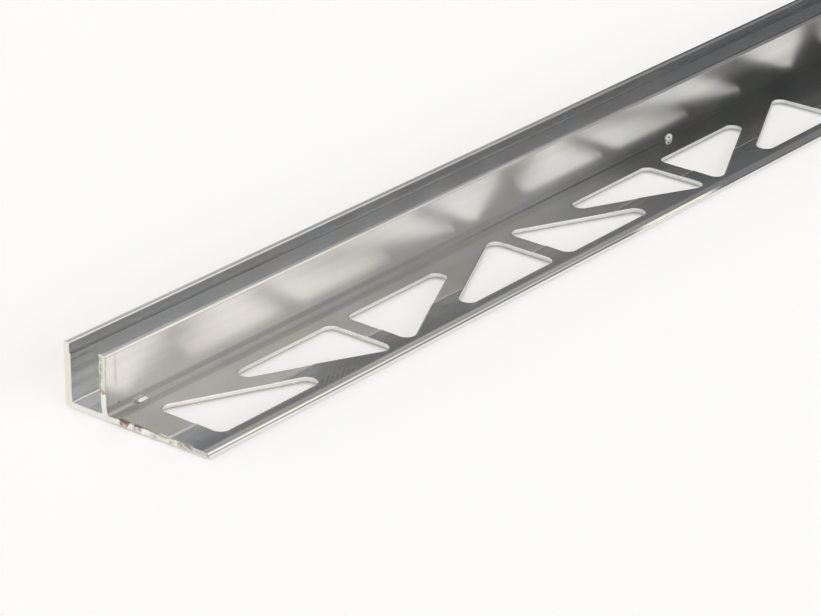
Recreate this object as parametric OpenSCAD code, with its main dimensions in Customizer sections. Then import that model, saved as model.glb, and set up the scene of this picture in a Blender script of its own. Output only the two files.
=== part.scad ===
// Edge profile for a covering: a slim channel with a long punched anchoring leg, one aluminium extrusion.
// Sizes in millimetres. The length lies along X, the leg points to -Y, and the underside rests on Z = 0.

/* [Length] */
// Sawn length of the stock
length = 1000; // [60:10:3000]

/* [Section] */
// Height of both channel walls over the underside
height = 10; // [6:0.5:30]
// Thickness of the outer wall
outer_wall_t = 1.25; // [0.8:0.05:2.5]
// Thickness of the rib between the channel and the leg
rib_t = 1; // [0.8:0.05:2.5]
// Clear width of the channel
channel_w = 5.85; // [3:0.05:20]
// Width of the leg, from its outer edge to the rib
leg_w = 18.4; // [14:0.1:45]
// Thickness of the leg and of the channel floor
leg_t = 0.85; // [0.6:0.05:2]
// Width of the slightly thicker strip along the leg's outer edge
strip_w = 7.35; // [4:0.05:12]
// How far that strip stands above the rest of the leg
strip_rise = 0.1; // [0:0.01:0.4]
// Length of the ramp between strip and leg
ramp_w = 0.3; // [0.1:0.05:1]

/* [Edges] */
// Fillet at the foot of each wall
foot_r = 0.5; // [0.1:0.05:1.5]
// Rounding of the two wall tops
lip_r = 0.3; // [0.05:0.05:0.6]
// Rounding of the lower corner under the outer wall
heel_r = 0.35; // [0.1:0.05:1]
// Rounding along the leg's outer edge
toe_r = 0.3; // [0.05:0.05:0.6]

/* [Punching] */
// Distance from one pair of triangles to the next
pitch = 40; // [24:1:80]
// Pairs punched in one stroke, which make a group
group_pairs = 4; // [1:1:12]
// Plain metal between one group and the next
group_land = 13.4; // [2:0.2:60]
// From the sawn end to the first pair
end_land = 5.9; // [1:0.1:30]
// Least metal between the last hole and the far end
far_land = 3; // [1:0.5:30]
// Width of the metal between holes, across the leg and along the diagonals
web_w = 3.4; // [1.5:0.1:10]
// Metal between the leg's outer edge and the triangles' long sides
outer_land = 2.8; // [1:0.1:8]
// Metal between the rib and the triangles' long sides
inner_land = 4.1; // [1:0.1:10]
// How far the short tips reach past the opposite long sides
tip_reach = 0.4; // [0:0.05:1]
// Corner radius of the punch
corner_r = 1.5; // [0.4:0.1:3]

/* [Finish] */
// Metal colour
metal = [0.77, 0.77, 0.76];

/* [Hidden] */
arc_steps = 5;
$fn = 36;

// Places across the section, from the leg's outer edge.
rib_y = leg_w;
floor_y = rib_y + rib_t;
wall_y = floor_y + channel_w;
total_w = wall_y + outer_wall_t;
strip_t = leg_t + strip_rise;

// Each rounding stays inside the wall that it is on.
foot = min(foot_r, channel_w * 0.45, (height - leg_t) * 0.4);
rib_lip = min(lip_r, rib_t * 0.45);
wall_lip = min(lip_r, outer_wall_t * 0.45);
heel = min(heel_r, outer_wall_t * 0.9, leg_t * 0.9);
toe = min(toe_r, strip_t * 0.45);

// The punched window of one pair, and the triangle in it. The triangle is bounded by three corner circles,
// and its length follows from the diagonal web: the two slanted sides of a pair lie web_w apart.
win_l = pitch - web_w;
win_w = leg_w - outer_land - inner_land;
tri_w = win_w + tip_reach;
run_y = tri_w - 2 * corner_r;
p = run_y * (win_l / 2 - corner_r);
q = run_y + corner_r - win_w / 2;
s = web_w / 2 + corner_r;
run_x = (p * p - s * s * run_y * run_y)
    / (p * q + sqrt(p * p * q * q - (q * q - s * s) * (p * p - s * s * run_y * run_y)));
tri_l = run_x + 2 * corner_r;

// Direction straight out of the slanted side.
slant = [run_y, run_x] / norm([run_y, run_x]);

// Groups along the length. The last pair may have room for its first triangle only.
room = length - far_land - end_land;
group_pitch = group_pairs * pitch - web_w + group_land;
groups = max(0, floor((room - tri_l) / group_pitch) + 1);

// Points on an arc about c, from angle a0 to a1.
function arc(c, r, a0, a1) =
    [for (i = [0 : arc_steps]) let (a = a0 + (a1 - a0) * i / arc_steps) c + r * [cos(a), sin(a)]];

// The extruded section, seen along the length: Y to the right, Z up.
module section() {
    polygon(concat(
        arc([toe, toe], toe, 180, 270),
        arc([total_w - heel, heel], heel, 270, 360),
        arc([total_w - wall_lip, height - wall_lip], wall_lip, 0, 90),
        arc([wall_y + wall_lip, height - wall_lip], wall_lip, 90, 180),
        arc([wall_y - foot, leg_t + foot], foot, 360, 270),
        arc([floor_y + foot, leg_t + foot], foot, 270, 180),
        arc([floor_y - rib_lip, height - rib_lip], rib_lip, 0, 90),
        arc([rib_y + rib_lip, height - rib_lip], rib_lip, 90, 180),
        arc([rib_y - foot, leg_t + foot], foot, 360, 270),
        [[strip_w, leg_t], [strip_w - ramp_w, strip_t]],
        arc([toe, strip_t - toe], toe, 90, 180)
    ));
}

// One punched triangle: its square corner at the origin, its long side along X, its short side along Y.
module triangle() {
    corner = [corner_r, corner_r];
    tip_x = [corner_r + run_x, corner_r];
    tip_y = [corner_r, corner_r + run_y];
    for (c = [corner, tip_x, tip_y]) translate(c) circle(corner_r);
    polygon([
        [corner_r, 0], [corner_r + run_x, 0], tip_x + corner_r * slant,
        tip_y + corner_r * slant, [0, corner_r + run_y], [0, corner_r]
    ]);
}

// The triangle's punch, long enough to go right through the leg.
module punch() {
    translate([0, 0, -1]) linear_extrude(strip_t + 2) triangle();
}

// A pair fills its window: one triangle at the outer side, one turned half round at the inner side.
module pair(second) {
    translate([0, outer_land, 0]) punch();
    if (second) translate([win_l, outer_land + win_w, 0]) rotate(180) punch();
}

// The pair after it is the mirror image, so its square corner comes at the other end.
module mirrored_pair(second) {
    translate([0, outer_land + win_w, 0]) mirror([0, 1, 0]) punch();
    if (second) translate([win_l, outer_land, 0]) mirror([1, 0, 0]) punch();
}

module edge_profile() {
    color(metal) translate([-length / 2, -total_w / 2, 0]) difference() {
        rotate([90, 0, 90]) linear_extrude(length) section();
        for (g = [0 : 1 : groups - 1], i = [0 : 1 : group_pairs - 1]) {
            x = g * group_pitch + i * pitch;
            second = x + win_l <= room;
            if (x + tri_l <= room) translate([end_land + x, 0, 0])
                if (i % 2 == 0) pair(second); else mirrored_pair(second);
        }
    }
}

edge_profile();
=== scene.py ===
from functools import reduce
import bpy
import numpy as np
from mathutils import Matrix, Vector
from mathutils.geometry import delaunay_2d_cdt


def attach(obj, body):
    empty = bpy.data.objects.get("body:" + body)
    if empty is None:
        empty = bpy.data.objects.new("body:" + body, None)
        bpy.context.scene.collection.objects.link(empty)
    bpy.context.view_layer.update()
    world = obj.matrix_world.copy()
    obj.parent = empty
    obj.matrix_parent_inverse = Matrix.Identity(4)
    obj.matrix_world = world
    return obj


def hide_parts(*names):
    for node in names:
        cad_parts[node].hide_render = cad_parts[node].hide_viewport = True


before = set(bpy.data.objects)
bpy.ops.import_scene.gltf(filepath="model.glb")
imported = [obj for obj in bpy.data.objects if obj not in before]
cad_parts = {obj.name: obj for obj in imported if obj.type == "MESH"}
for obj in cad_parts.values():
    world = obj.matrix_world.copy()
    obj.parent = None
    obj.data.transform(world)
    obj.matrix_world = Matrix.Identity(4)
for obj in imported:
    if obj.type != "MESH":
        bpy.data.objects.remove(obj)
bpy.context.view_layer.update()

# Camera, found by fitting the photo's perspective to the section and the punched pattern.
viewing = {
    "place": (-0.794783, -0.286126, 0.207587),
    "right": (0.630246, -0.776363, 0.007034),
    "up": (0.320814, 0.268663, 0.908239),
    "lens": 145.725,
    "sensor": 36.0,
}

studio = {
    "floorTone": 0.85,
    "floorGlow": 0.205,       # what the camera and the metal see of the floor on top of its own light
    "floorSize": 14.0,
    "floorDrop": 0.00016,     # the stock is never quite flat, so most of it lies this much over the floor
    "lampPlace": (0.1, 2.5, 4.7),
    "lampAim": (-0.4, 0, 0),
    "lampSize": (6.0, 2.6),
    "lampPower": 45.0,
    # The sky is split by its angle about the X axis, 0 at the horizon and 1 straight up, and by how far
    # the direction leans along X.
    "leanRange": (0.6, 0.8),      # the tables below read the lean between these
    "bandEdge": (0.414, 0.428),   # where the band over the horizon ends
    "lowTone": [(0.60, 0.6), (0.655, 0.69), (0.70, 0.45), (0.735, 0.47), (0.751, 0.49), (0.7588, 0.19),
                (0.766, 0.1), (0.778, 0.01), (0.80, 0.005)],
    "highTone": [(0.60, 0.24), (0.70, 0.15), (0.750, 0.195), (0.77, 0.18), (0.80, 0.18)],
    "topGlow": [(0.60, 0.6), (0.655, 1.15), (0.70, 0.9), (0.750, 0.55), (0.766, 0.1), (0.78, 0.05)],
    "topShape": [(0.5, 0.0), (0.66, 0.38), (0.84, 0.9), (1.0, 0.85)],
    "horizonGlow": [(0.0, 0.45), (0.06, 0.4), (0.12, 0.1), (0.18, 0.0)],
    # The band on the leg's side against the one behind the wall.
    "frontShare": [(0.60, 0.97), (0.655, 0.96), (0.70, 0.82), (0.735, 0.85), (0.752, 0.85), (0.7588, 0.36),
                   (0.775, 0.22)],
    # A strip low over the horizon there.
    "frontLow": [(0.60, 0.0), (0.69, 0.0), (0.70, 0.1), (0.72, 0.2), (0.737, 0.45), (0.80, 0.5)],
    "frontGlow": [(0.60, 1.0), (0.69, 1.0), (0.72, 0.3), (0.745, 0.05)],   # and the glow overhead
    "tent": (1.5, 0.5, 0.6),   # extra light of the band to the sides: how much, and where it fades along X
    "warm": (1.0, 0.985, 0.95), "cool": (0.97, 1.0, 1.06),   # tint of the bright and of the dark sky
}

# The stock in millimetres, as the part's source has it. X runs along the length from the near
# end, Y across from the leg's outer edge, Z up.
stock = {
    "length": 1000.0, "height": 10.0, "wall": 1.25, "rib": 1.0, "channel": 5.85, "leg": 18.4,
    "legThick": 0.85, "strip": 7.35, "stripRise": 0.1, "ramp": 0.3,
    "foot": 0.5, "heel": 0.35, "toe": 0.3,
    "legFoot": 0.055,         # the crease between leg and rib
    "wallFoot": 0.36,         # the crease inside the outer wall
    # The two tops are crowned: level up to this place, then falling towards the leg to this tilt, then a
    # small corner.
    "ribCrown": (19.1, 27.0, 0.12), "ribLip": 0.2, "wallCrown": (26.1, 18.0, 0.1), "wallLip": 0.1,
    "groove": [(9.02, 0.05, 0.02), (9.55, 0.05, 0.02), (7.62, 0.05, 0.02)],   # height, half width, depth
    "flute": [(1.33, 0.11, 0.07), (1.87, 0.1, 0.05)],   # two fine ridges above the wall's foot
    "setBack": (8.38, 8.45, 0.26),   # the wall steps back by this much between these heights
    "toeTop": 0.5,           # rounding from the strip down to the outer edge
    # The strip's slope towards the outer edge, in degrees, at places from the edge inwards.
    "toeSlope": [(0.46, 15.0), (0.62, 9.0), (0.85, 8.5), (1.08, 11.5), (1.26, 8.0), (1.4, 3.0)],
    "bead": (0.08, 0.22, 0.05),    # place past the ramp, half width and height of the fine bead along it
    "stripFall": 0.12,       # how far the strip falls from the ramp to the step
    "pitch": 40.0, "groupPairs": 4, "groupLand": 13.4, "endLand": 5.9, "farLand": 3.0, "web": 3.4,
    "outerLand": 2.8, "innerLand": 4.1, "tipReach": 0.4, "corner": 1.5,
    "rollOver": 0.09,        # the punch pulls the edge of each hole down over this width
    "bevelReach": 0.12, "bevelHeight": 0.16,   # and breaks out below with a small bevel
    "ringOut": 0.24,         # the flat is meshed up to this far from each hole
    "outerSeam": 1.4,        # where the plate meets the rolled outer edge
    "innerSeam": 16.0,       # where the plate meets the channel part
    # Where the rows of the mesh lie: from the first end, back from the far end, and on the wall's inside,
    # from, to and by.
    "nearRows": [0, 0.08, 0.18, 0.3, 0.45, 0.65, 0.9, 1.2, 1.6, 2.1, 2.7, 3.4, 4.2, 5.2, 6.4, 8],
    "farRows": [0, 0.1, 0.25, 0.5, 1, 2],
    "railStep": 10.0,
    "wallRows": [(8.6, 8.3, 0.0125), (8.2, 7.5, 0.06), (7.0, 6.9, 1.0), (2.1, 1.21, 0.03)],
    "wallStep": 0.06,
    "skinStep": 0.22, "skinShake": 0.05, "skinGap": 0.09,   # points scattered in the end faces
    # The first end as it was cut: out of square, torn along the leg, with the rib bent over.
    "cutSkew": [(0.0, 0.42), (18.9, -0.2), (26.5, -0.26)],   # shift along X across the width
    "ribSkew": [(0.9, 0.0), (2.4, -0.28), (5.0, -0.28), (8.0, -0.1), (10.0, -0.05)],   # and up the rib
    "tornEdge": [(0, 0), (7.1, 0), (7.6, -0.16), (8.8, -0.22), (9.3, -0.05), (9.8, 0), (10.6, 0),
                 (11.2, 0.05), (12.2, 0.06), (12.6, -0.05), (13.2, 0), (13.6, -0.12), (14.0, 0.02),
                 (14.6, 0.0), (14.9, -0.15), (16.2, -0.15), (16.6, 0), (18.0, 0)],
    "tornDepth": 0.12,
    "legRipple": [(0.4, 2.7), (0.35, 1.3), (0.25, 0.7), (0.2, 0.43)],   # how much and how long each wave is
    "ribRipple": [(0.4, 3.1), (0.35, 1.2), (0.25, 0.6)],
    "cutReach": 5.0,         # the slant fades out over this
    "cutFade": 0.35,         # and the tearing over this
    "tornFrom": 3.2,         # from here on the leg's cut is ragged by tornDepth
    "plainDepth": 0.03, "chipDepth": 0.05,   # and the rest by these
    "ribLean": (4.6, 0.38),  # from this height up the burr on the channel's side sticks out this far
    # Stray metal: centre, half sizes, tilt about X, how round it is (1 a ball, less a box) and its
    # material; the first is a flat chip in the crease.
    "crumbs": [((6.35, 17.98, 1.13), (0.86, 0.27, 0.03), 23.0, 0.3, 3),
               ((134.8, 18.3, 1.2), (0.74, 0.38, 0.56), 0.0, 1.0, 3),
               ((0.1, 14.3, 0.66), (0.2, 0.3, 0.24), 0.0, 1.0, 2)],
}


# The middle of the stock's underside, in its millimetres, where the part has its origin.
def middle(s):
    return s["length"] / 2, (s["leg"] + s["rib"] + s["channel"] + s["wall"]) / 2, 0.0


# Points on a circle: centre plus radius times the cosine and sine of evenly stepped angles.
def arcPoints(centre, radius, start, end, steps):
    a = np.radians(np.linspace(start, end, steps + 1))
    return np.asarray(centre, float) + radius * np.stack([np.cos(a), np.sin(a)], 1)


# Joins arcs and points into one line, with evenly spaced points on each straight between.
def joinPath(parts, step):
    out = [parts[0]]
    for part in parts[1:]:
        a, b = out[-1][-1], part[0]
        n = max(1, int(np.ceil(np.hypot(*(b - a)) / step)))
        out.append(a + (b - a) * np.arange(1, n)[:, None] / n)
        out.append(part)
    return np.concatenate(out)


# The outer wall's inside: its plane, a smooth step back, a rounded valley at each groove and a rounded
# ridge at each flute.
def wallFace(z, s):
    low, high, back = s["setBack"]
    u = np.clip((z - low) / (high - low), 0, 1)
    y = s["leg"] + s["rib"] + s["channel"] + back * u * u * (3 - 2 * u)
    for at, half, depth in s["groove"] + [(a, h, -d) for a, h, d in s["flute"]]:
        y = y + depth * np.cos(np.clip((z - at) / half, -1, 1) * np.pi / 2) ** 2
    return y


# From the level part of a top to its face: a parabola down to the tilt, then a small arc to the vertical.
def crownPoints(face, crown, h):
    level, tilt, r = crown
    a = np.radians(tilt)
    corner = face + r * (1 - np.sin(a))
    y = np.linspace(level, corner, 12)
    z = h - np.tan(a) / 2 * (level - y) ** 2 / (level - corner)
    centre = (corner + r * np.sin(a), z[-1] - r * np.cos(a))
    return np.concatenate([np.stack([y, z], 1), arcPoints(centre, r, 90 + tilt, 180, 6)[1:]])


# The section of rib, channel and outer wall, from the leg's underside round to the leg's top.
def channelPath(s):
    ribY, floorY = s["leg"], s["leg"] + s["rib"]
    wallY = floorY + s["channel"]
    total = wallY + s["wall"]
    h, t, f = s["height"], s["legThick"], s["foot"]
    wallTop = crownPoints(wallFace(np.array([h]), s)[0], s["wallCrown"], h)
    zs = [np.arange(wallTop[-1, 1] - s["wallStep"], s["wallRows"][0][0] + 0.02, -s["wallStep"])]
    zs = np.concatenate(zs + [np.arange(top, end, -step) for top, end, step in s["wallRows"]])
    return joinPath([
        np.array([[s["innerSeam"], 0.0]]),
        arcPoints((total - s["heel"], s["heel"]), s["heel"], 270, 360, 5),
        arcPoints((total - s["wallLip"], h - s["wallLip"]), s["wallLip"], 0, 90, 5),
        wallTop,
        np.stack([wallFace(zs, s), zs], 1),
        arcPoints((wallY - s["wallFoot"], t + s["wallFoot"]), s["wallFoot"], 360, 270, 8),
        arcPoints((floorY + f, t + f), f, 270, 180, 7),
        arcPoints((floorY - s["ribLip"], h - s["ribLip"]), s["ribLip"], 0, 90, 6),
        crownPoints(ribY, s["ribCrown"], h),
        arcPoints((ribY - s["legFoot"], t + s["legFoot"]), s["legFoot"], 360, 270, 5),
        np.array([[s["innerSeam"], t]]),
    ], 0.7)


# The section round the leg's outer edge: the sum of the slopes from the seam out, a large rounding, a
# short upright and a small rounding.
def toePath(s):
    slopes = np.array(s["toeSlope"])
    ys = np.linspace(s["outerSeam"], slopes[0, 0], 24)
    slope = np.tan(np.radians(np.interp(ys, slopes[:, 0], slopes[:, 1])))
    fall = np.append(0.0, np.cumsum((slope[1:] + slope[:-1]) / 2 * np.diff(-ys)))
    top = plateTop(np.array([s["outerSeam"]]), s)[0] - fall
    a, r = np.radians(slopes[0, 1]), s["toeTop"]
    centre = (ys[-1] + r * np.sin(a), top[-1] - r * np.cos(a))
    shift = centre[0] - r
    under = min(s["toe"], centre[1] - 0.02)
    return joinPath([
        np.stack([ys - shift * (ys[0] - ys) / (ys[0] - ys[-1]), top], 1),
        arcPoints((r, centre[1]), r, 90 + slopes[0, 1], 180, 9)[1:],
        arcPoints((under, under), under, 180, 270, 5),
        np.array([[s["outerSeam"], 0.0]]),
    ], 0.35)


# Height of the leg's top: the strip, which falls a little outwards, a smooth step down over the ramp, and
# a bead.
def plateTop(y, s):
    u = np.clip((s["strip"] - y) / s["ramp"], 0, 1)
    out = np.clip((s["strip"] - s["ramp"] - y) / (s["strip"] - s["ramp"] - s["outerSeam"]), 0, 1)
    at, half, rise = s["bead"]
    bead = rise * np.cos(np.clip((y - s["strip"] - at) / half, -1, 1) * np.pi / 2) ** 2
    return s["legThick"] + s["stripRise"] * u * u * (3 - 2 * u) - s["stripFall"] * out ** 1.5 + bead


# Where the mesh has lines along the ramp: the strip's edge plus shares of the ramp.
def rampLines(s):
    return s["strip"] + np.array([-1.0, -0.78, -0.5, -0.22, 0.0, 0.1, 0.3, 0.6]) * s["ramp"]


# One triangle as anchors and outward directions: a ring lies at anchor plus (corner + d) times the
# direction.
def punchOutline(s, lines, flipX, flipY, originX):
    r = s["corner"]
    wide = s["leg"] - s["outerLand"] - s["innerLand"]
    long = s["pitch"] - s["web"]
    runY = wide + s["tipReach"] - 2 * r
    p, q, k = runY * (long / 2 - r), runY + r - wide / 2, s["web"] / 2 + r
    root = np.sqrt(p * p * q * q - (q * q - k * k) * (p * p - k * k * runY * runY))
    runX = (p * p - k * k * runY * runY) / (p * q + root)
    lean = np.degrees(np.arctan2(runX, runY))
    centres = np.array([[r, r], [r + runX, r], [r, r + runY]])
    turns = [(180, 270, 8), (-90, lean, 13), (lean, 180, 10)]
    anchors, outs = [], []
    for i, (a0, a1, steps) in enumerate(turns):
        a = np.radians(np.linspace(a0, a1, steps + 1))
        d = np.stack([np.cos(a), np.sin(a)], 1)
        anchors.append(np.repeat(centres[i:i + 1], steps + 1, 0))
        outs.append(d)
        start, end = centres[i], centres[(i + 1) % 3]
        side = end - start
        n = int(np.ceil(np.hypot(*side) / 1.6))
        t = np.arange(1, n) / n
        y0 = (start + (r + s["ringOut"]) * d[-1])[1]
        y0, yRun = (wide - y0, -side[1]) if flipY else (y0, side[1])
        if abs(yRun) > 1e-9:
            cross = (lines - s["outerLand"] - y0) / yRun
            cross = np.sort(cross[(cross > 0) & (cross < 1)])
            clear = np.abs(t[:, None] - cross[None, :]).min(1) * np.hypot(*side) > 0.3
            t = np.sort(np.concatenate([t[clear], cross]))
        anchors.append(start + side * t[:, None])
        outs.append(np.repeat(d[-1:], len(t), 0))
    anchor, out = np.concatenate(anchors), np.concatenate(outs)
    sign = np.array([-1.0 if flipX else 1.0, -1.0 if flipY else 1.0])
    shift = np.array([originX + (long if flipX else 0), s["outerLand"] + (wide if flipY else 0)])
    anchor, out = anchor * sign + shift, out * sign
    if flipX != flipY:
        anchor, out = anchor[::-1], out[::-1]
    return anchor, out


# All outlines along the stock: pairs in windows a pitch apart, each second pair mirrored.
def punchedHoles(s):
    lines = rampLines(s)
    long = s["pitch"] - s["web"]
    room = s["length"] - s["farLand"] - s["endLand"]
    probe = punchOutline(s, lines, False, False, 0)[0]
    triLong = probe[:, 0].max() + s["corner"]
    groupLong = s["groupPairs"] * s["pitch"] - s["web"] + s["groupLand"]
    holes = []
    for g in range(int((room - triLong) // groupLong) + 1):
        for i in range(s["groupPairs"]):
            x = g * groupLong + i * s["pitch"]
            if x + triLong <= room:
                holes.append(punchOutline(s, lines, False, i % 2 == 1, s["endLand"] + x))
            if x + long <= room:
                holes.append(punchOutline(s, lines, True, i % 2 == 0, s["endLand"] + x))
    return holes


# Places along X of the rows that cross the whole section, closest together near the two ends.
def railStations(s):
    mid = np.arange(10.0, s["length"] - 2.5, s["railStep"])
    return np.unique(np.concatenate([s["nearRows"], mid, s["length"] - np.array(s["farRows"])]))


# Two triangles for each cell of a grid, from the numbers of its corners.
def cellTris(a, b, c, d):
    q = np.stack([a, b, c, d], -1).reshape(-1, 4)
    return np.concatenate([q[:, [0, 1, 2]], q[:, [0, 2, 3]]])


# Grid surface: the path in Y and Z carried along X.
def sweep(path, stations):
    n, m = len(stations), len(path)
    v = np.empty((n, m, 3))
    v[..., 0] = stations[:, None]
    v[..., 1] = path[None, :, 0]
    v[..., 2] = path[None, :, 1]
    i = np.arange(n * m).reshape(n, m)
    return v.reshape(-1, 3), cellTris(i[:-1, :-1], i[:-1, 1:], i[1:, 1:], i[1:, :-1])


# Triangles of the plane between the given edges, wherever keep says that there is metal.
def fillFlat(points, edges, keep):
    places, pairs = [Vector(p) for p in points.tolist()], [tuple(e) for e in edges.tolist()]
    out = delaunay_2d_cdt(places, pairs, [], 0, 1e-7)
    source = np.array([o[0] for o in out[3]])
    tri = source[np.array(out[2])]
    a, b, c = points[tri[:, 0]], points[tri[:, 1]], points[tri[:, 2]]
    area = (b[:, 0] - a[:, 0]) * (c[:, 1] - a[:, 1]) - (b[:, 1] - a[:, 1]) * (c[:, 0] - a[:, 0])
    tri[area < 0] = tri[area < 0][:, ::-1]
    return tri[(np.abs(area) > 1e-9) & keep((a + b + c) / 3)]


# Even-odd test: how many edges of the loop a ray along the first axis crosses.
def inside(p, loop):
    a, b = loop, np.roll(loop, -1, 0)
    hit = (a[None, :, 1] > p[:, None, 1]) != (b[None, :, 1] > p[:, None, 1])
    slope = (b - a)[None, :, 0] / np.where(hit, (b - a)[None, :, 1], 1)
    x = a[None, :, 0] + (p[:, None, 1] - a[None, :, 1]) * slope
    return ((x > p[:, None, 0]) & hit).sum(1) % 2 == 1


# The leg's flat between its seams, top or bottom, with the holes' rings left open.
def plateSheet(s, holes, stations, across, reach, lines, isTop):
    points, edges, count = [], [], 0

    def add(p):
        nonlocal count
        k = np.arange(count, count + len(p))
        points.append(p)
        count += len(p)
        return k

    def chain(k, closed=False):
        edges.append(np.stack([k[:-1], k[1:]], 1))
        if closed:
            edges.append([[k[-1], k[0]]])

    low = add(np.stack([stations, np.full(len(stations), s["outerSeam"])], 1))
    high = add(np.stack([stations, np.full(len(stations), s["innerSeam"])], 1))
    side0 = add(np.stack([np.full(len(across) - 2, 0.0), across[1:-1]], 1))
    side1 = add(np.stack([np.full(len(across) - 2, s["length"]), across[1:-1]], 1))
    chain(low), chain(high)
    chain(np.concatenate([low[:1], side0, high[:1]]))
    chain(np.concatenate([low[-1:], side1, high[-1:]]))
    rings = []
    for anchor, out in holes:
        k = add(anchor + (s["corner"] + reach) * out)
        chain(k, True)
        rings.append(k)
    flat = np.concatenate(points)
    nearX = np.array(s["nearRows"][1:13])
    if isTop:
        for line in lines:
            here = np.concatenate(rings)
            here = here[np.abs(flat[here, 1] - line) < 1e-6]
            here = here[np.argsort(flat[here, 0])]
            start = side0[np.abs(across[1:-1] - line).argmin()]
            end = side1[np.abs(across[1:-1] - line).argmin()]
            extra = add(np.stack([nearX, np.full(len(nearX), line)], 1))
            chain(np.concatenate([[start], extra, here[:1]]))
            for j in range(1, len(here) - 1, 2):
                chain(here[[j, j + 1]])
            chain(np.array([here[-1], end]))
    clear = np.abs(across[:, None] - lines[None]).min(1) > 0.05 if isTop else np.ones(len(across), bool)
    ys = across[1:-1][clear[1:-1]]
    grid = np.stack(np.meshgrid(nearX, ys, indexing="ij"), -1).reshape(-1, 2)
    add(grid)
    flat = np.concatenate(points)

    def metal(p):
        inHole = np.zeros(len(p), bool)
        for k in rings:
            loop = flat[k]
            near = (p[:, 0] > loop[:, 0].min()) & (p[:, 0] < loop[:, 0].max())
            inHole[near] |= inside(p[near], loop)
        return ~inHole

    tri = fillFlat(flat, np.concatenate([np.asarray(e, int).reshape(-1, 2) for e in edges]), metal)
    z = plateTop(flat[:, 1], s) if isTop else np.zeros(len(flat))
    if not isTop:
        tri = tri[:, ::-1]
    return np.column_stack([flat, z]), tri


# Rings round one hole: a quarter round from the flat into the hole, the straight wall, and a small lower
# bevel.
def holeWall(s, anchor, out):
    rho = s["rollOver"]
    turn = np.radians([0, 25, 45, 65, 90])
    reach = np.append(s["ringOut"], rho * (1 - np.sin(turn)))
    drop = np.append(0.0, rho * (1 - np.cos(turn)))
    base = plateTop((anchor + (s["corner"] + s["ringOut"]) * out)[:, 1], s)
    rows = []
    for d, z in zip(reach, drop):
        rows.append(np.column_stack([anchor + (s["corner"] + d) * out, base - z]))
    flat = anchor + s["corner"] * out
    top = rows[-1][:, 2]
    for f in (0.35, 0.7):
        rows.append(np.column_stack([flat, top + (s["bevelHeight"] - top) * f]))
    rows.append(np.column_stack([flat, np.full(len(flat), s["bevelHeight"])]))
    bevel = anchor + (s["corner"] + s["bevelReach"]) * out
    rows.append(np.column_stack([bevel, np.zeros(len(flat))]))
    v = np.stack(rows)
    n, m = v.shape[:2]
    i = np.arange(n * m).reshape(n, m)
    j = np.roll(i, -1, 1)
    sheared = np.repeat(np.arange(n - 1) >= 4, m)
    return v.reshape(-1, 3), cellTris(i[:-1], j[:-1], j[1:], i[1:]), np.tile(sheared, 2)


# The cut face at one end: the section's outline filled with scattered points.
def endSkin(s, channel, toe, across, x, seed):
    top = np.stack([across[1:-1][::-1], plateTop(across[1:-1][::-1], s)], 1)
    bottom = np.stack([across[1:-1], np.zeros(len(across) - 2)], 1)
    loop = np.concatenate([channel, top, toe, bottom])
    gy, gz = np.meshgrid(*(np.arange(0.1, loop[:, k].max(), s["skinStep"]) for k in (0, 1)), indexing="ij")
    p = np.stack([gy, gz], -1).reshape(-1, 2)
    p = p + np.random.default_rng(seed).uniform(-s["skinShake"], s["skinShake"], p.shape)
    p = p[inside(p, loop)]
    a, b = loop, np.roll(loop, -1, 0)
    ab = b - a
    t = np.clip(((p[:, None] - a[None]) * ab[None]).sum(-1) / (ab * ab).sum(-1)[None], 0, 1)
    gap = np.hypot(*np.moveaxis(p[:, None] - a[None] - t[..., None] * ab[None], -1, 0)).min(1)
    p = p[gap > s["skinGap"]]
    flat = np.concatenate([loop, p])
    k = np.arange(len(loop))
    tri = fillFlat(flat, np.stack([k, np.roll(k, -1)], 1), lambda c: inside(c, loop))
    if x <= 0:
        tri = tri[:, ::-1]
    return np.column_stack([np.full(len(flat), x), flat]), tri


# A small lump: a ball on a grid of two angles, stretched, dented by three sines and turned about X.
def crumb(centre, size, tilt, power, seed):
    a, b = np.meshgrid(np.linspace(0, 2 * np.pi, 21)[:-1], np.linspace(0, np.pi, 11), indexing="ij")
    p = np.random.default_rng(seed).uniform(0, 6.28, 3)
    dents = 0.12 * np.sin(2 * a + p[0]) + 0.08 * np.sin(3 * b + p[1])
    dents = dents + 0.06 * np.sin(5 * a + p[2]) * np.sin(b)
    r = 1 + power ** 2 * dents * np.sin(b)
    v = np.stack([np.cos(a) * np.sin(b), np.sin(a) * np.sin(b), np.cos(b)], -1)
    v = np.sign(v) * np.abs(v) ** power * r[..., None] * np.array(size)
    c, d = np.cos(np.radians(tilt)), np.sin(np.radians(tilt))
    v = v @ np.array([[1, 0, 0], [0, c, d], [0, -d, c]]) + np.array(centre)
    i = np.arange(a.size).reshape(a.shape)
    j = np.roll(i, -1, 0)
    return v.reshape(-1, 3), cellTris(i[:, :-1], i[:, 1:], j[:, 1:], j[:, :-1])


# A sum of sines, each with its size and wave length, shifted by its phase.
def ripple(t, waves, phases):
    return sum(a * np.sin(2 * np.pi * t / w + phase) for (a, w), phase in zip(waves, phases))


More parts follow.
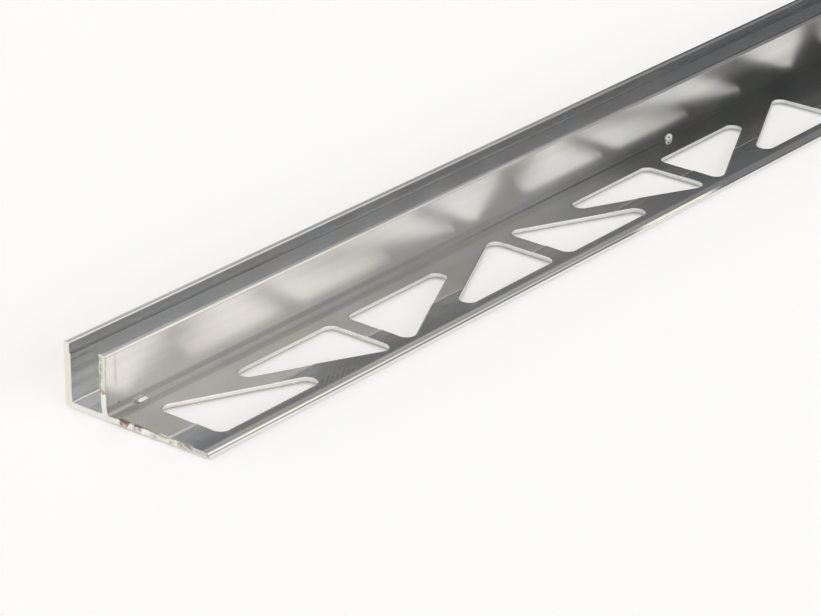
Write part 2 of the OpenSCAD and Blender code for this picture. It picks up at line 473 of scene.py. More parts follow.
# Moves points near the first end: a skew from two tables that fades over 5 mm, a torn edge from the table
# along the leg with short sines on it, and the rib's burr, each fading along X as a bell curve.
def cutEnd(v, s):
    x, y, z = v.T.copy()
    lean, skew, up = s["ribLean"], np.array(s["cutSkew"]), np.array(s["ribSkew"])
    edge = np.exp(-(x / s["cutFade"]) ** 2)
    onLeg = (y < s["leg"] - 0.3) & (z < s["legThick"] + 0.3)
    onRib = (np.abs(y - s["leg"] - s["rib"] / 2) < s["rib"] / 2 + 0.05) & (z > s["legThick"] + 0.1)
    notches = np.array(s["tornEdge"])
    lift = np.interp(y, notches[:, 0], notches[:, 1])
    p = np.random.default_rng(11).uniform(0, 6.28, 8)
    jag, chip = ripple(y, s["legRipple"], p[:4]), ripple(z, s["ribRipple"], p[4:7])
    torn = np.where((y > s["tornFrom"]) & onLeg, s["tornDepth"], s["plainDepth"])
    dz = np.where(onLeg, lift * np.clip(z / s["legThick"], 0, 1), 0) * edge
    dx = (torn * jag + np.where(onLeg, 0, s["chipDepth"] * chip)) * edge
    slant = np.interp(y, skew[:, 0], skew[:, 1]) + np.where(onRib, np.interp(z, up[:, 0], up[:, 1]), 0)
    dx = dx + np.clip(1 - x / s["cutReach"], 0, 1) * slant
    bend = np.clip((z - lean[0]) / 0.7, 0, 1)
    bend = bend * bend * (3 - 2 * bend) * edge * onRib * np.clip((y - s["leg"]) / s["rib"], 0, 1) ** 2
    dy = lean[1] * bend * (1 + 0.25 * np.sin(z * 2.6) + 0.3 * chip)
    return np.stack([x + dx, y + dy, z + dz], 1)


# Puts the surfaces together and merges points that fall on each other.
def weld(parts):
    shift, verts, tris, skins = 0, [], [], []
    for v, t, skin in parts:
        verts.append(v)
        tris.append(t + shift)
        skins.append(np.broadcast_to(skin, len(t)))
        shift += len(v)
    v, t, skin = np.concatenate(verts), np.concatenate(tris), np.concatenate(skins)
    keys = np.round(v * 1e4).astype(np.int64)
    _, first, where = np.unique(keys, axis=0, return_index=True, return_inverse=True)
    t = where.reshape(-1)[t]
    good = (t[:, 0] != t[:, 1]) & (t[:, 1] != t[:, 2]) & (t[:, 0] != t[:, 2])
    return v[first], t[good], skin[good]


# The whole stock: channel and outer edge swept along X, the leg's flats between them, a wall in each hole, a
# skin on each end, all welded, cut as the first end is, and put into one mesh.
def buildStock(s):
    stations = railStations(s)
    lines = rampLines(s)
    across = np.concatenate([np.linspace(s["outerSeam"], lines[0], 36)[:-1], lines[:-1],
                             np.linspace(lines[-1], s["innerSeam"], 56)])
    channel, toe = channelPath(s), toePath(s)
    holes = punchedHoles(s)
    print("holes", len(holes))
    parts = [(*sweep(channel, stations), 0), (*sweep(toe, stations), 0)]
    parts.append((*plateSheet(s, holes, stations, across, s["ringOut"], lines, True), 0))
    parts.append((*plateSheet(s, holes, stations, across, s["bevelReach"], lines, False), 0))
    for anchor, out in holes:
        v, t, wall = holeWall(s, anchor, out)
        parts.append((v, t, wall.astype(int)))
    parts.append((*endSkin(s, channel, toe, across, 0.0, 3), 2))
    parts.append((*endSkin(s, channel, toe, across, s["length"], 4), 2))
    v, t, skin = weld(parts)
    v = cutEnd(v, s)
    for k, (centre, size, tilt, power, metal) in enumerate(s["crumbs"]):
        cv, ct, cs = weld([(*crumb(centre, size, tilt, power, k + 1), metal)])
        v, t, skin = np.concatenate([v, cv]), np.concatenate([t, ct + len(v)]), np.concatenate([skin, cs])
    print("stock mesh", len(v), "points", len(t), "triangles")
    v = (v - middle(s)) / 1000
    mesh = bpy.data.meshes.new("edge_stock")
    mesh.from_pydata(v.tolist(), [], t.tolist())
    mesh.polygons.foreach_set("material_index", skin.astype(np.int32))
    mesh.polygons.foreach_set("use_smooth", np.ones(len(t), bool))
    mesh.set_sharp_from_angle(angle=np.radians(50))
    mesh.validate()
    piece = bpy.data.objects.new("edge_stock", mesh)
    bpy.context.scene.collection.objects.link(piece)
    even = piece.modifiers.new("evenNormals", "WEIGHTED_NORMAL")
    even.mode = "FACE_AREA"
    even.weight = 60
    even.keep_sharp = True
    return piece


# Turns a camera or lamp along its three axes, at its place, and puts it in the scene.
def setUp(thing, right, up, back, place):
    m = np.eye(4)
    m[:3, 0], m[:3, 1], m[:3, 2], m[:3, 3] = right, up, back, place
    thing.matrix_world = Matrix(m.tolist())
    bpy.context.scene.collection.objects.link(thing)


def placeCamera(v):
    data = bpy.data.cameras.new("viewer")
    data.lens = v["lens"]
    data.sensor_width = v["sensor"]
    data.sensor_fit = "HORIZONTAL"
    data.clip_start = 0.01
    cam = bpy.data.objects.new("viewer", data)
    setUp(cam, v["right"], v["up"], np.cross(v["right"], v["up"]), v["place"])
    bpy.context.scene.camera = cam


def calc(nt, op, a, b=0.0, c=0.0):
    node = nt.nodes.new("ShaderNodeMath")
    node.operation = op
    for socket, value in zip(node.inputs, (a, b, c)):
        if isinstance(value, (int, float)):
            socket.default_value = value
        else:
            nt.links.new(value, socket)
    return node.outputs[0]


# Goes smoothly from start to end as the value goes from low to high; low may be the larger of the two.
def rise(nt, value, low, high, start=0.0, end=1.0):
    node = nt.nodes.new("ShaderNodeMapRange")
    node.interpolation_type = "SMOOTHSTEP"
    nt.links.new(value, node.inputs["Value"])
    for name, number in zip(("From Min", "From Max", "To Min", "To Max"), (low, high, start, end)):
        node.inputs[name].default_value = number
    return node.outputs["Result"]


def product(nt, *masks):
    return reduce(lambda a, b: calc(nt, "MULTIPLY", a, b), masks)


def most(nt, *masks):
    return reduce(lambda a, b: calc(nt, "MAXIMUM", a, b), masks)


# A mask over ranges, times the masks given: 0 at a range's first place and 1 at its second, and a band falls
# from its third place to its fourth.
def patch(nt, axes, ranges, *masks):
    masks = list(masks)
    for axis, off, on, *fall in ranges:
        masks.append(rise(nt, axes[axis], off, on))
        if fall:
            masks.append(rise(nt, axes[axis], fall[1], fall[0]))
    return product(nt, *masks)


# The tone left by all marks: the product of 1 plus the mark times its amount.
def toned(nt, pairs):
    return product(nt, *[calc(nt, "MULTIPLY_ADD", mask, amount, 1.0) for mask, amount in pairs])


# A noise around zero.
def centred(nt, value):
    return calc(nt, "SUBTRACT", value, 0.5)


def vectorCalc(nt, op, a, b, c=None):
    node = nt.nodes.new("ShaderNodeVectorMath")
    node.operation = op
    for socket, value in zip(node.inputs, (a, b, c)):
        if value is None:
            continue
        if isinstance(value, tuple):
            socket.default_value = value
        else:
            nt.links.new(value, socket)
    return node.outputs[0]


def noise(nt, vector, scale, detail, rough=0.5):
    node = nt.nodes.new("ShaderNodeTexNoise")
    nt.links.new(vector, node.inputs["Vector"])
    node.inputs["Scale"].default_value = scale
    node.inputs["Detail"].default_value = detail
    node.inputs["Roughness"].default_value = rough
    return node.outputs["Fac"]


def blend(nt, factor, a, b):
    node = nt.nodes.new("ShaderNodeMix")
    node.data_type = "RGBA"
    nt.links.new(factor, node.inputs["Factor"])
    for name, value in (("A", a), ("B", b)):
        socket = next(i for i in node.inputs if i.name == name and i.type == "RGBA")
        if isinstance(value, tuple):
            socket.default_value = (*value, 1)
        else:
            nt.links.new(value, socket)
    return next(o for o in node.outputs if o.type == "RGBA")


# Reads a colour or tone from a table of places between low and high.
def table(nt, source, stops, low, high):
    node = nt.nodes.new("ShaderNodeValToRGB")
    for i, (at, tone) in enumerate(stops):
        place = (at - low) / (high - low)
        e = node.color_ramp.elements[i] if i < 2 else node.color_ramp.elements.new(place)
        e.position = place
        e.color = (*tone, 1) if isinstance(tone, tuple) else (tone, tone, tone, 1)
    nt.links.new(calc(nt, "DIVIDE", calc(nt, "SUBTRACT", source, low), high - low), node.inputs[0])
    return node.outputs["Color"]


def scaled(nt, colour, by):
    out = vectorCalc(nt, "SCALE", colour, None)
    nt.links.new(by, out.node.inputs["Scale"])
    return out


# The studio's sky: a band over the horizon and a glow overhead, both toned by the tables over the lean
# along X, and a soft tent to the sides. The camera sees it plain white.
def paintWorld(s):
    world = bpy.data.worlds.new("softStudio")
    bpy.context.scene.world = world
    world.use_nodes = True
    nt = world.node_tree
    nt.nodes.clear()
    n, link = nt.nodes, nt.links.new
    out = n.new("ShaderNodeOutputWorld")
    parts = n.new("ShaderNodeSeparateXYZ")
    link(n.new("ShaderNodeTexCoord").outputs["Generated"], parts.inputs[0])
    x, y, z = parts.outputs

    def lean(name):
        return table(nt, x, s[name], *s["leanRange"])

    # The table's share on the leg's side, and all behind the wall.
    def share(name, low, high):
        less = calc(nt, "MULTIPLY", calc(nt, "SUBTRACT", 1.0, lean(name)), rise(nt, turn, low, high))
        return calc(nt, "SUBTRACT", 1.0, less)

    turn = calc(nt, "DIVIDE", calc(nt, "ARCTAN2", z, y), np.pi)
    fold = calc(nt, "SUBTRACT", 1.0, calc(nt, "ABSOLUTE", calc(nt, "MULTIPLY_ADD", turn, 2.0, -1.0)))
    band = calc(nt, "MULTIPLY", lean("lowTone"), share("frontShare", 0.45, 0.55))
    glow = calc(nt, "MULTIPLY", band, table(nt, fold, s["horizonGlow"], 0.0, 1.0))
    low = calc(nt, "MULTIPLY_ADD", glow, 2.0, band)
    strip = product(nt, lean("frontLow"), rise(nt, fold, 0.1, 0.3, 1.0, 0.0), rise(nt, turn, 0.55, 0.6))
    low = calc(nt, "ADD", low, strip)
    over = product(nt, lean("topGlow"), table(nt, fold, s["topShape"], 0.0, 1.0),
                   share("frontGlow", 0.48, 0.56))
    high = calc(nt, "ADD", over, lean("highTone"))
    tone = calc(nt, "MULTIPLY_ADD", rise(nt, fold, *s["bandEdge"]), calc(nt, "SUBTRACT", high, low), low)
    seen = n.new("ShaderNodeBackground")
    sky = scaled(nt, blend(nt, rise(nt, tone, 0.03, 0.4), s["cool"], s["warm"]), tone)
    side = rise(nt, x, *s["tent"][1:], s["tent"][0], 0.0)
    tent = product(nt, side, rise(nt, fold, 0.04, 0.12), rise(nt, fold, *s["bandEdge"], 1.0, 0.0))
    link(vectorCalc(nt, "ADD", sky, tent), seen.inputs["Color"])
    white = n.new("ShaderNodeBackground")
    white.inputs["Color"].default_value = (0.98, 0.98, 0.98, 1)
    path = n.new("ShaderNodeLightPath")
    pick = n.new("ShaderNodeMixShader")
    link(path.outputs["Is Camera Ray"], pick.inputs[0])
    link(seen.outputs[0], pick.inputs[1])
    link(white.outputs[0], pick.inputs[2])
    link(pick.outputs[0], out.inputs[0])


# A matt plate, a little brighter for the camera and for mirror images than by its own light.
def layFloor(s):
    h = s["floorSize"] / 2
    mesh = bpy.data.meshes.new("studioFloor")
    corners = [(a, b, -s["floorDrop"]) for a, b in ((-h, -h), (h, -h), (h, h), (-h, h))]
    mesh.from_pydata(corners, [], [(0, 1, 2, 3)])
    floor = bpy.data.objects.new("studioFloor", mesh)
    bpy.context.scene.collection.objects.link(floor)
    mat = bpy.data.materials.new("paleFloor")
    mat.use_nodes = True
    nt = mat.node_tree
    nt.nodes.clear()
    n, link = nt.nodes, nt.links.new
    out = n.new("ShaderNodeOutputMaterial")
    matt = n.new("ShaderNodeBsdfDiffuse")
    matt.inputs["Color"].default_value = (s["floorTone"],) * 3 + (1,)
    glow = n.new("ShaderNodeEmission")
    path = n.new("ShaderNodeLightPath")
    seen = most(nt, path.outputs["Is Camera Ray"], path.outputs["Is Glossy Ray"])
    link(calc(nt, "MULTIPLY", seen, s["floorGlow"]), glow.inputs["Strength"])
    link(blend(nt, path.outputs["Is Camera Ray"], s["warm"], (1.0, 1.0, 1.0)), glow.inputs["Color"])
    both = n.new("ShaderNodeAddShader")
    link(matt.outputs[0], both.inputs[0])
    link(glow.outputs[0], both.inputs[1])
    link(both.outputs[0], out.inputs[0])
    mesh.materials.append(mat)


# A rectangle of light behind the stock, turned so that it faces the aim.
def hangLamp(s):
    data = bpy.data.lights.new("backSoftbox", "AREA")
    data.shape = "RECTANGLE"
    data.size, data.size_y = s["lampSize"]
    data.energy = s["lampPower"]
    lamp = bpy.data.objects.new("backSoftbox", data)
    p, a = np.array(s["lampPlace"], float), np.array(s["lampAim"], float)
    back = (p - a) / np.linalg.norm(p - a)
    side = np.cross((0, 0, 1), back)
    side /= np.linalg.norm(side)
    setUp(lamp, side, np.cross(back, side), back, p)


finish = {
    "metal": (0.912, 0.91, 0.903),
    "coolTint": (0.985, 0.995, 1.005), "warmTint": (1.0, 0.99, 0.96),   # the metal's hue, in soft clouds
    # ribTint: a warm hue on the rib near the end, a painted reflection of warm light.
    "filmTint": (0.975, 0.985, 1.03), "ribTint": (1.02, 0.99, 0.965), "goldTint": (1.09, 1.08, 0.93),
    "cutMetal": (0.93, 0.918, 0.87),
    "cutPlain": (0.9, 0.9, 0.9), "cutDull": (0.78, 0.77, 0.72),
    "cutSpot": (0.5, 0.37, 0.31), "cutSide": (0.44, 0.44, 0.37),
    "punchMetal": (0.84, 0.815, 0.79), "punchFar": (0.76, 0.765, 0.765),
    "stain": (0.27, 0.2, 0.16),
    "fleck": (0.97, 0.965, 0.96), "fleckSpot": (0.1, 0.06, 0.07),
    "grain": 0.8,             # how far the highlights are drawn out across the die lines
    "fray": 1.2,              # how far the soft noise pushes the edges of a rub
    # Relief in metres: the die lines, what a unit of the slow waves is worth of them, and the two cuts.
    "dieRelief": 0.000004, "waveRelief": 6.0, "punchRelief": 0.000006, "sawRelief": 0.00003,
    # Where a face or mark is: per range an axis, the place where the mask is 0 and the place where it is 1,
    # and for a band also where it starts and ends falling.
    "places": {
        "leg": [("y", 18.3, 17.9), ("z", 1.3, 1.05)],
        "strip": [("y", 1.45, 1.6, 7.1, 7.25), ("z", 0.5, 0.7)],
        "rib": [("y", 18.1, 18.2, 18.7, 18.8), ("z", 0.95, 1.1)],
        "channel": [("y", 19.0, 19.3)],
        "wallInside": [("y", 24.5, 24.9, 25.6, 25.7)],
        "wallOutside": [("y", 26.25, 26.4), ("z", 9.7, 9.5)],
        "outerEdge": [("y", 0.55, 0.75, 1.2, 1.4)],
        "seam": [("y", 18.15, 18.25, 18.45, 18.55), ("z", 1.15, 1.0)],
        "chatter": [("x", 26.0, 27.0, 32.5, 33.5), ("y", 1.2, 1.8, 3.0, 3.6)],
        "faintChatter": [("x", 12.0, 14.0, 27.0, 29.0), ("y", 1.5, 1.9, 2.9, 3.3)],
        "torn": [("x", 0.8, 0.35), ("y", 3.0, 3.2, 17.2, 17.4), ("z", 1.4, 1.2)],
        "cutEdge": [("x", 0.75, 0.3), ("z", 1.4, 1.2)],
        # A painted glint: a matt, pale golden streak along the outer edge.
        "paintedGlint": [("x", 98.0, 105.0, 118.0, 125.0), ("y", 0.54, 0.34), ("z", 0.36, 0.52)],
    },
    # Two rubbed streaks on the rib near the end, and the stains with painted shade, each with its strength:
    # in the torn notches of the cut edge, and beside the burr on the rib's face near the end.
    "rubs": [[("x", 1.1, 1.45, 1.6, 1.95), ("z", 4.5, 6.0, 9.0, 10.5)],
             [("x", 6.0, 6.3, 6.6, 6.9), ("z", 1.8, 2.3, 3.8, 4.3)]],
    "stains": [("cutEdge", 0.8, [("y", 14.5, 14.7, 16.5, 16.7)]),
               ("cutEdge", 0.8, [("y", 12.3, 12.5, 13.7, 13.9)]),
               ("rib", 0.15, [("x", 0.3, 0.05), ("z", 5.2, 4.4)])],
    # How strong a mark is along X: from, to, and its strength at both.
    "nearRib": (15.0, 110.0, 1.0, 0.0), "creaseFade": (40.0, 90.0, 1.0, 0.3),
    "seamGrowth": (60.0, 130.0, 0.25, 1.0), "stepFade": (35.0, 80.0, 1.0, 0.5),
    # How much each mark lifts or lowers the tone; the strip is kept darker, and crease, seam and step are
    # painted shadow lines.
    "tones": {"strip": -0.225, "cloud": 0.16, "broad": 0.14, "rub": -0.14, "chatter": -0.5, "torn": -0.25,
              "crease": -0.26, "seam": -0.57, "step": -0.7, "wallLines": 0.16},
    "outsideTone": -0.38, "outsideLines": 0.9,
    # The same for further marks on one place: a nick, and painted shade and light, faces made darker or
    # lighter in places and towards one end to stand in for the light and shade they mirror.
    "shades": [
        ("rib", -0.35, [("x", 1.75, 1.9, 2.1, 2.25), ("z", 1.95, 2.1, 2.5, 2.65)]),
        ("rib", -0.12, [("x", 15.0, 120.0)]),
        ("rib", -0.25, [("x", 112.0, 138.0), ("z", 7.5, 4.8)]),
        ("rib", -0.2, [("x", 60.0, 20.0), ("y", 18.44, 18.41), ("z", 9.6, 9.8)]),
        ("leg", -0.33, [("x", 105.0, 125.0), ("y", 8.0, 15.0)]),
        ("leg", -0.19, [("x", 9.0, 4.0), ("y", 7.4, 7.7)]),
        ("outerEdge", -0.25, [("x", 40.0, 20.0)]),
        ("channel", 0.07, []),
        ("channel", -0.12, [("x", 16.0, 4.0), ("y", 20.7, 21.2, 22.2, 22.7)]),
        ("wallInside", -0.15, [("x", 16.0, 4.0), ("z", 2.8, 3.7, 5.5, 6.4)]),
        ("wallInside", -0.16, [("x", 138.0, 155.0), ("z", 8.0, 8.3, 8.9, 9.2)]),
    ],
    "roughness": 0.165,
    "roughs": {"leg": -0.065, "rib": 0.015, "nearRib": 0.06, "cloud": 0.06, "worn": 0.12, "torn": 0.5,
               "paintedGlint": 0.3},
    # A painted contact shadow in the middle of the blister.
    "darkSpot": [("x", 134.17, 134.33, 134.53, 134.69), ("y", 18.2, 18.1), ("z", 1.12, 1.26, 1.42, 1.56)],
    # Tint of the first cut across the leg, from its outer edge; its dark bands from 12.6 on are dirt and
    # painted shade in the torn notches.
    "cutTint": [
        (0.0, (0.5, 0.49, 0.46)), (0.9, (0.64, 0.64, 0.63)), (2.95, (0.63, 0.63, 0.62)),
        (3.1, (0.42, 0.4, 0.34)), (4.0, (0.36, 0.32, 0.26)), (5.4, (0.5, 0.48, 0.42)),
        (6.0, (0.92, 0.92, 0.88)), (6.4, (0.8, 0.8, 0.75)), (6.9, (0.55, 0.54, 0.48)),
        (7.4, (0.85, 0.85, 0.8)), (8.6, (0.9, 0.9, 0.85)), (9.6, (0.58, 0.58, 0.5)),
        (10.4, (0.66, 0.66, 0.58)), (10.9, (0.98, 0.98, 0.95)), (12.2, (1, 1, 0.98)),
        (12.6, (0.45, 0.38, 0.34)), (13.1, (0.85, 0.83, 0.8)), (13.6, (0.3, 0.22, 0.19)),
        (14.0, (0.9, 0.9, 0.9)), (14.5, (0.95, 0.95, 0.95)), (14.85, (0.34, 0.25, 0.2)),
        (16.2, (0.4, 0.31, 0.24)), (16.7, (0.93, 0.96, 0.9)), (18.2, (0.88, 0.87, 0.83)),
        (19.6, (0.9, 0.91, 0.94)), (24.8, (0.9, 0.91, 0.94)), (25.4, (0.86, 0.85, 0.8)),
        (26.5, (0.86, 0.85, 0.8)),
    ],
}


# A node group with the given inputs and float outputs: the group and the sockets at its two ends.
def newGroup(name, inputs, outputs):
    g = bpy.data.node_groups.new(name, "ShaderNodeTree")
    for label, kind in inputs:
        g.interface.new_socket(label, in_out="INPUT", socket_type=kind)
    for label in outputs:
        g.interface.new_socket(label, in_out="OUTPUT", socket_type="NodeSocketFloat")
    return g, g.nodes.new("NodeGroupInput").outputs, g.nodes.new("NodeGroupOutput").inputs


# Lines left by die or saw: noise on the place times Stretch, fine and broad, each from 0 to 1.
def drawnLines():
    inputs = [("Place", "NodeSocketVector"), ("Stretch", "NodeSocketVector")]
    g, given, out = newGroup("drawnLines", inputs, ["Fine", "Broad"])
    along = vectorCalc(g, "MULTIPLY", given["Place"], given["Stretch"])
    g.links.new(noise(g, along, 1.0, 3.0, 0.65), out["Fine"])
    g.links.new(noise(g, along, 0.22, 2.0, 0.5), out["Broad"])
    return g


# Marks of handling: soft noise on the place divided by Size, from 0 to 1.
def handling():
    inputs = [("Place", "NodeSocketVector"), ("Size", "NodeSocketFloat")]
    g, given, out = newGroup("handling", inputs, ["Cloud"])
    spread = scaled(g, given["Place"], calc(g, "DIVIDE", 1.0, given["Size"]))
    g.links.new(noise(g, spread, 1.0, 3.0), out["Cloud"])
    return g


# A metal with the two groups placed on the stock's own millimetres: the material, its nodes, its shader, the
# place per axis, the soft noise, the lines and the place.
def newMetal(name, groups, stretch, size):
    mat = bpy.data.materials.new(name)
    mat.use_nodes = True
    nt = mat.node_tree
    where = nt.nodes.new("ShaderNodeTexCoord")
    place = vectorCalc(nt, "MULTIPLY_ADD", where.outputs["Object"], (1000.0,) * 3, middle(stock))
    lines, marks = nt.nodes.new("ShaderNodeGroup"), nt.nodes.new("ShaderNodeGroup")
    for node, g in zip((lines, marks), groups):
        node.node_tree = g
        nt.links.new(place, node.inputs["Place"])
    lines.inputs["Stretch"].default_value = stretch
    marks.inputs["Size"].default_value = size
    xyz = nt.nodes.new("ShaderNodeSeparateXYZ")
    nt.links.new(place, xyz.inputs[0])
    shader = nt.nodes["Principled BSDF"]
    shader.inputs["Metallic"].default_value = 1
    return mat, nt, shader, dict(zip("xyz", xyz.outputs)), marks.outputs["Cloud"], lines.outputs, place


def coat(nt, shader, colour, rough):
    nt.links.new(colour, shader.inputs["Base Color"])
    nt.links.new(rough, shader.inputs["Roughness"])


def raiseGrain(nt, shader, height, distance):
    bump = nt.nodes.new("ShaderNodeBump")
    bump.inputs["Distance"].default_value = distance
    nt.links.new(height, bump.inputs["Height"])
    nt.links.new(bump.outputs[0], shader.inputs["Normal"])


# The mill finish: roughness is the plain one plus each mark times its amount, tone the product of 1 plus
# each mark times its amount.
def millAluminium(f, groups):
    mat, nt, shader, axes, cloud, die, place = newMetal("millAluminium", groups, (0.012, 5.0, 5.0), 9.0)
    x, y, z = axes.values()
    at = {name: patch(nt, axes, ranges) for name, ranges in f["places"].items()}
    soft, fine = centred(nt, cloud), centred(nt, die["Fine"])

    def listed(rows):
        return [(patch(nt, axes, ranges, at[name]), amount) for name, amount, ranges in rows]

    nearRib = product(nt, at["rib"], rise(nt, x, *f["nearRib"]))
    # Chatter: short slanting ticks on the strip, fainter nearer the end, broken up by noise.
    ticks = calc(nt, "MULTIPLY_ADD", x, -0.52, calc(nt, "MULTIPLY", y, 0.87))
    ticks = calc(nt, "MULTIPLY_ADD", cloud, 0.3, ticks)
    ticks = rise(nt, calc(nt, "SINE", calc(nt, "MULTIPLY", ticks, 2 * np.pi / 0.62)), -0.3, 0.4)
    marked = most(nt, at["chatter"], calc(nt, "MULTIPLY", at["faintChatter"], 0.5))
    chatter = product(nt, at["strip"], marked, ticks, rise(nt, noise(nt, place, 0.9, 1.0), 0.3, 0.5))
    frayed = {"x": calc(nt, "MULTIPLY_ADD", soft, f["fray"], x), "z": z}
    rub = most(nt, *(patch(nt, frayed, ranges, at["rib"]) for ranges in f["rubs"]))
    # Stains that also paint shade: in the torn notches, and beside the rib's burr.
    stain = most(nt, *(calc(nt, "MULTIPLY", mask, amount) for mask, amount in listed(f["stains"])))
    # Shadow lines: the crease beside the rib, the seam under it and the step in the wall.
    onLeg = calc(nt, "MULTIPLY", patch(nt, axes, [("y", 17.2, 17.6, 18.3, 18.7)], at["leg"]), 0.45)
    crease = most(nt, patch(nt, axes, [("z", 1.05, 1.5, 2.0, 2.45)], at["rib"]), onLeg)
    crease = product(nt, crease, rise(nt, x, *f["creaseFade"]))
    seam = product(nt, at["seam"], rise(nt, x, *f["seamGrowth"]))
    low, high = stock["setBack"][:2]
    step = patch(nt, axes, [("z", low - 0.14, low - 0.1, high + 0.01, high + 0.05)], at["wallInside"])
    step = product(nt, step, rise(nt, x, *f["stepFade"]))
    marks = {
        **at, "nearRib": nearRib, "cloud": soft, "broad": centred(nt, die["Broad"]), "rub": rub,
        "chatter": chatter, "crease": crease, "seam": seam, "step": step,
        "wallLines": product(nt, at["wallInside"], fine), "worn": most(nt, rub, stain, chatter),
    }
    # The outer wall's outside is duller, with stronger die lines.
    outside = calc(nt, "MULTIPLY_ADD", fine, f["outsideLines"], f["outsideTone"])
    # The shades after the nick are painted shade and light.
    pairs = [(marks[name], amount) for name, amount in f["tones"].items()] + listed(f["shades"])
    tone = toned(nt, pairs + [(at["wallOutside"], outside)])
    hue = blend(nt, rise(nt, noise(nt, place, 0.16, 2.0), 0.35, 0.65), f["coolTint"], f["warmTint"])
    # A cool hue over the crease's painted shadow, over the strip near the end and over the channel.
    coolHue = most(nt, calc(nt, "MULTIPLY", crease, 0.8), patch(nt, axes, [("x", 12.0, 5.0)], at["strip"]),
                calc(nt, "MULTIPLY", at["channel"], 0.45))
    # The warm hue on the rib near the end is a painted reflection of warm light.
    for mask, tint in ((coolHue, "filmTint"), (nearRib, "ribTint"), (at["paintedGlint"], "goldTint")):
        hue = blend(nt, mask, hue, f[tint])
    colour = vectorCalc(nt, "MULTIPLY", scaled(nt, hue, tone), f["metal"])
    # The painted golden glint on the outer edge is matt, so that it shows as a pale bright streak.
    nt.links.new(calc(nt, "SUBTRACT", 1.0, at["paintedGlint"]), shader.inputs["Metallic"])
    rough = f["roughness"]
    for name, amount in f["roughs"].items():
        rough = calc(nt, "MULTIPLY_ADD", marks[name], amount, rough)
    coat(nt, shader, blend(nt, stain, colour, f["stain"]), rough)
    shader.inputs["Anisotropic"].default_value = f["grain"]
    normal = nt.nodes.new("ShaderNodeNewGeometry").outputs["Normal"]
    nt.links.new(vectorCalc(nt, "CROSS_PRODUCT", normal, (1.0, 0.0, 0.0)), shader.inputs["Tangent"])
    # Relief: die lines, and slow waves that bend the mirror image in the rib.
    waves = noise(nt, vectorCalc(nt, "MULTIPLY", place, (0.06, 0.2, 0.2)), 1.0, 1.0)
    raiseGrain(nt, shader, calc(nt, "MULTIPLY_ADD", waves, f["waveRelief"], die["Fine"]), f["dieRelief"])
    return mat


# The holes' walls: sheared above, darker and rougher where the metal broke below, and greyer further along
# as painted shade.
def punchedWall(f, groups):
    mat, nt, shader, axes, cloud, shear, _ = newMetal("punchedWall", groups, (3.5, 3.5, 0.3), 1.2)
    broken = rise(nt, calc(nt, "MULTIPLY_ADD", cloud, 0.35, axes["z"]), 0.6, 0.4)
    tone = toned(nt, [(broken, -0.3), (centred(nt, shear["Fine"]), 0.16)])
    # Greyer walls further along: painted shade.
    metal = blend(nt, rise(nt, axes["x"], 25.0, 90.0), f["punchMetal"], f["punchFar"])
    coat(nt, shader, scaled(nt, metal, tone), calc(nt, "MULTIPLY_ADD", broken, 0.2, 0.5))
    raiseGrain(nt, shader, calc(nt, "ADD", cloud, shear["Fine"]), f["punchRelief"])
    return mat


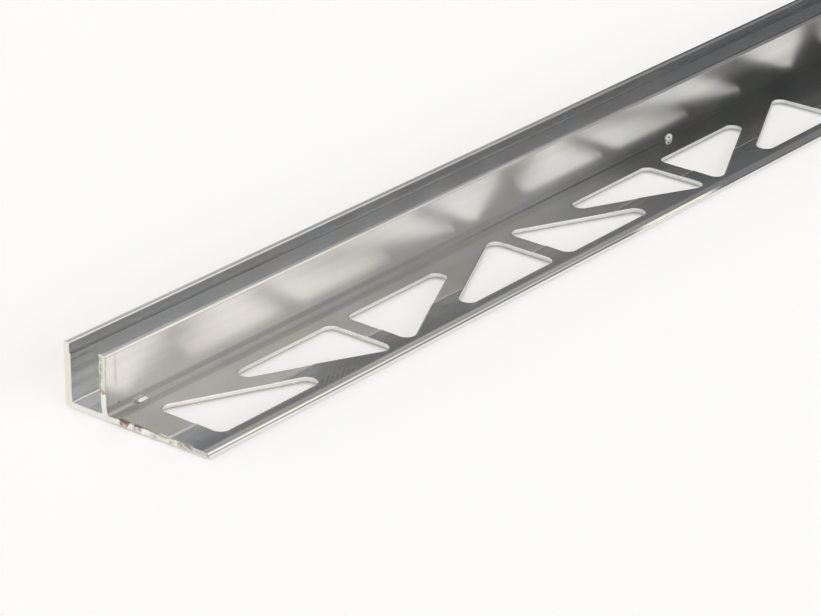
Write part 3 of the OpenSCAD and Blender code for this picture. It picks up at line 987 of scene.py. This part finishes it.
def sawnEnd(f, groups):
    mat, nt, shader, axes, cloud, saw, place = newMetal("sawnEnd", groups, (0.2, 4.5, 0.5), 1.6)
    x, y, z = axes.values()
    # The leg's first cut is torn and dirty, with painted shade in its notches: a tint from the table across
    # it, wavering by noise, clean again along the lower edge.
    across = calc(nt, "MULTIPLY_ADD", z, 0.35, calc(nt, "SUBTRACT", y, 0.15))
    across = calc(nt, "MULTIPLY_ADD", centred(nt, noise(nt, place, 1.9, 3.0, 0.6)), 1.5, across)
    tint = table(nt, across, f["cutTint"], 0.0, f["cutTint"][-1][0])
    ragged = noise(nt, place, 2.4, 2.0, 0.6)
    nearEnd = rise(nt, x, 9.0, 5.0)
    patchy = most(nt, rise(nt, ragged, 0.4, 0.55, 0.35, 1.0), rise(nt, y, 16.7, 17.0), rise(nt, y, 2.9, 2.7))
    dirtAndShade = product(nt, nearEnd, rise(nt, z, 0.12, 0.3, 0.4, 1.0), patchy)
    # The rib's cut is duller above a brown spot, and darker in patches along its sides.
    rib = patch(nt, axes, [("y", 17.8, 18.0, 19.8, 20.0), ("z", 1.2, 1.6)])
    wavy = {"z": calc(nt, "MULTIPLY_ADD", ragged, 1.2, z)}
    spot = patch(nt, wavy, [("z", 4.65, 4.9, 5.2, 5.45)], rib, nearEnd)
    dull = product(nt, rib, rise(nt, z, 4.2, 5.0))
    sides = most(nt, rise(nt, y, 18.7, 18.45), rise(nt, y, 19.1, 19.4))
    sides = product(nt, dull, sides, rise(nt, noise(nt, place, 1.5, 3.0, 0.65), 0.4, 0.52))
    colour = f["cutPlain"]
    for mask, over in ((dirtAndShade, tint), (dull, f["cutDull"]), (spot, f["cutSpot"]), (sides, f["cutSide"])):
        colour = blend(nt, mask, colour, over)
    colour = scaled(nt, colour, toned(nt, [(centred(nt, saw["Fine"]), 0.3)]))
    colour = vectorCalc(nt, "MULTIPLY", colour, f["cutMetal"])
    coat(nt, shader, colour, calc(nt, "MULTIPLY_ADD", cloud, 0.2, 0.36))
    raiseGrain(nt, shader, calc(nt, "MULTIPLY_ADD", cloud, 1.5, saw["Fine"]), f["sawRelief"])
    return mat


# The stray chip and the blister: the one further along is duller and greyer, with a painted contact shadow
# in its middle.
def paleFleck(f, groups):
    mat, nt, shader, axes, cloud, *_ = newMetal("paleFleck", groups, (1.0, 1.0, 1.0), 0.6)
    dull = rise(nt, axes["x"], 20.0, 100.0)
    tone = calc(nt, "MULTIPLY_ADD", dull, -0.2, calc(nt, "MULTIPLY_ADD", cloud, 0.1, 0.95))
    colour = blend(nt, patch(nt, axes, f["darkSpot"]), scaled(nt, f["fleck"], tone), f["fleckSpot"])
    coat(nt, shader, colour, calc(nt, "MULTIPLY_ADD", dull, 0.2, calc(nt, "MULTIPLY_ADD", cloud, 0.1, 0.3)))
    shader.inputs["Metallic"].default_value = 0
    return mat


placeCamera(viewing)
paintWorld(studio)
layFloor(studio)
hangLamp(studio)
print("studio set")
edgeStock = buildStock(stock)
noiseGroups = drawnLines(), handling()
for make in (millAluminium, punchedWall, sawnEnd, paleFleck):
    edgeStock.data.materials.append(make(finish, noiseGroups))
print("metals", [m.name for m in edgeStock.data.materials])
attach(edgeStock, "root")
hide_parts("edge_profile")
bpy.context.scene.view_settings.view_transform = "Standard"
